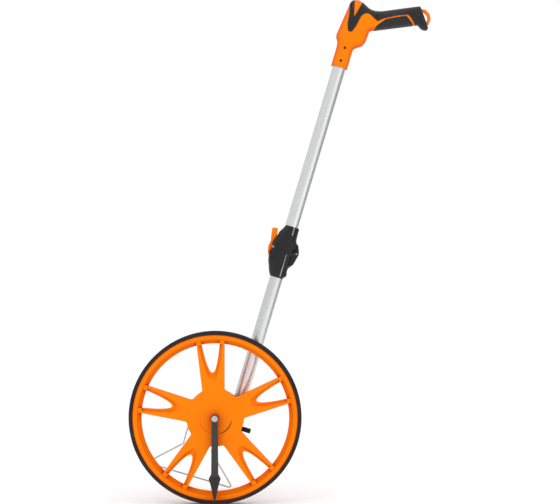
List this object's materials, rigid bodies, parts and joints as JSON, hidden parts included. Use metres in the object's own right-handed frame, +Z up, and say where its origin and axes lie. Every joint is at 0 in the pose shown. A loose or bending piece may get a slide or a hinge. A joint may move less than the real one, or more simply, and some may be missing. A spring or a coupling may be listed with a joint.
{
  "type": "measuring wheel",
  "caption": "Folding distance measuring wheel: split-spoke wheel with rubber tyre, hanging pointer, drum counter, wire stand, two-part leaning pole with fold joint, pistol-style handle.",
  "frame": {"origin": "on the ground under the axle, in the middle of the tread", "axes": "+Z up; +Y along the axle away from the pointer, towards the counter and pole; +X towards the user's handle"},
  "size_m": [0.56, 0.1809, 0.9358],
  "materials": {
    "orange_plastic": "moulded ABS, satin gloss",
    "black_plastic": "moulded glass-filled nylon, fine texture",
    "tyre_rubber": "moulded rubber",
    "soft_grip": "soft thermoplastic rubber, fine grain",
    "tube_aluminium": "satin anodised",
    "bright_wire": "bright plated steel wire",
    "zinc_steel": "zinc plated",
    "counter_white": "white drums",
    "nylon": "natural nylon",
    "clear_lens": "clear acrylic"
  },
  "bodies": {
    "frame": {"lower_tube": "tube_aluminium", "housing_front": "black_plastic", "housing_rear": "black_plastic", "housing_screws": "zinc_steel", "counter_bezel": "black_plastic", "counter_lens": "clear_lens", "counter_frame": "zinc_steel", "drum_shaft": "zinc_steel", "transfer_shaft": "zinc_steel", "axle": "zinc_steel", "axle_screw": "zinc_steel", "pointer_spacer": "zinc_steel", "axle_spacer": "zinc_steel", "axle_washer": "zinc_steel", "axle_nut": "zinc_steel", "reset_bush": "nylon", "reset_spring": "zinc_steel", "stand_bracket": "black_plastic", "stand_screws": "zinc_steel", "fold_joint_lower": "black_plastic", "lower_joint_screw": "zinc_steel", "hinge_pin": "zinc_steel", "latch_pin": "zinc_steel"},
    "wheel": {"wheel": "orange_plastic", "tyre": "tyre_rubber", "hub_bushes": "nylon", "drive_gear": "nylon"},
    "pointer": {"pointer": "black_plastic"},
    "drum_1": {"number_drum_1": "counter_white", "input_gear": "nylon"},
    "drum_2": {"number_drum_2": "counter_white"},
    "drum_3": {"number_drum_3": "counter_white"},
    "drum_4": {"number_drum_4": "counter_white"},
    "drum_5": {"number_drum_5": "counter_white"},
    "transfer_1": {"transfer_pinion_1": "nylon"},
    "transfer_2": {"transfer_pinion_2": "nylon"},
    "transfer_3": {"transfer_pinion_3": "nylon"},
    "transfer_4": {"transfer_pinion_4": "nylon"},
    "reset": {"reset_rod": "zinc_steel", "reset_clip": "zinc_steel", "reset_knob": "black_plastic"},
    "stand": {"stand_wire": "bright_wire"},
    "latch": {"latch_lever": "orange_plastic"},
    "upper_pole": {"upper_tube": "tube_aluminium", "fold_joint_upper": "black_plastic", "upper_joint_screw": "zinc_steel", "handle_front": "orange_plastic", "handle_back": "orange_plastic", "grip_overmould": "soft_grip", "grip_insert": "soft_grip", "handle_screws": "zinc_steel", "hang_loop": "orange_plastic"}
  },
  "joints": [
    {"name": "wheel_spin", "type": "hinge", "parent": "frame", "child": "wheel", "pos_m": [0, 0, 0.15915], "axis": [0, 1, 0], "continuous": true},
    {"name": "pointer_swing", "type": "hinge", "parent": "frame", "child": "pointer", "pos_m": [0, 0, 0.15915], "axis": [0, 1, 0], "continuous": true},
    {"name": "fold", "type": "hinge", "parent": "frame", "child": "upper_pole", "pos_m": [0.15002, 0.038, 0.45977], "axis": [0, 1, 0], "range_deg": [0, 180]},
    {"name": "latch_release", "type": "hinge", "parent": "frame", "child": "latch", "pos_m": [0.10107, 0.038, 0.46502], "axis": [0, -1, 0], "range_deg": [0, 28], "stiffness_Nm_per_rad": 0.05, "springref_deg": -11.46},
    {"name": "stand_fold", "type": "hinge", "parent": "frame", "child": "stand", "pos_m": [-0.02804, 0.0666, 0.12474], "axis": [0.9581, 0, -0.2865], "range_deg": [0, 140]},
    {"name": "reset_push", "type": "slide", "parent": "frame", "child": "reset", "axis": [-0.9581, 0, 0.2865], "range_m": [0, 0.004], "stiffness_N_per_m": 300, "springref_m": -0.003, "deforming": ["reset_spring"]},
    {"name": "drum_1_spin", "type": "hinge", "parent": "frame", "child": "drum_1", "pos_m": [0.00027, 0, 0.18315], "axis": [0, 1, 0], "continuous": true},
    {"name": "drum_2_spin", "type": "hinge", "parent": "frame", "child": "drum_2", "pos_m": [0.00027, 0, 0.18315], "axis": [0, 1, 0], "continuous": true},
    {"name": "drum_3_spin", "type": "hinge", "parent": "frame", "child": "drum_3", "pos_m": [0.00027, 0, 0.18315], "axis": [0, 1, 0], "continuous": true},
    {"name": "drum_4_spin", "type": "hinge", "parent": "frame", "child": "drum_4", "pos_m": [0.00027, 0, 0.18315], "axis": [0, 1, 0], "continuous": true},
    {"name": "drum_5_spin", "type": "hinge", "parent": "frame", "child": "drum_5", "pos_m": [0.00027, 0, 0.18315], "axis": [0, 1, 0], "continuous": true},
    {"name": "transfer_1_spin", "type": "hinge", "parent": "frame", "child": "transfer_1", "pos_m": [-0.01831, 0, 0.18871], "axis": [0, 1, 0], "continuous": true},
    {"name": "transfer_2_spin", "type": "hinge", "parent": "frame", "child": "transfer_2", "pos_m": [-0.01831, 0, 0.18871], "axis": [0, 1, 0], "continuous": true},
    {"name": "transfer_3_spin", "type": "hinge", "parent": "frame", "child": "transfer_3", "pos_m": [-0.01831, 0, 0.18871], "axis": [0, 1, 0], "continuous": true},
    {"name": "transfer_4_spin", "type": "hinge", "parent": "frame", "child": "transfer_4", "pos_m": [-0.01831, 0, 0.18871], "axis": [0, 1, 0], "continuous": true}
  ],
  "couplings": [
    {"joint": "drum_1_spin", "follows": "wheel_spin", "ratio": -1},
    {"joint": "drum_2_spin", "follows": "wheel_spin", "ratio": -0.1},
    {"joint": "drum_3_spin", "follows": "wheel_spin", "ratio": -0.01},
    {"joint": "drum_4_spin", "follows": "wheel_spin", "ratio": -0.001},
    {"joint": "drum_5_spin", "follows": "wheel_spin", "ratio": -0.0001},
    {"joint": "transfer_1_spin", "follows": "wheel_spin", "ratio": 0.25},
    {"joint": "transfer_2_spin", "follows": "wheel_spin", "ratio": 0.025},
    {"joint": "transfer_3_spin", "follows": "wheel_spin", "ratio": 0.0025},
    {"joint": "transfer_4_spin", "follows": "wheel_spin", "ratio": 0.00025}
  ]
}
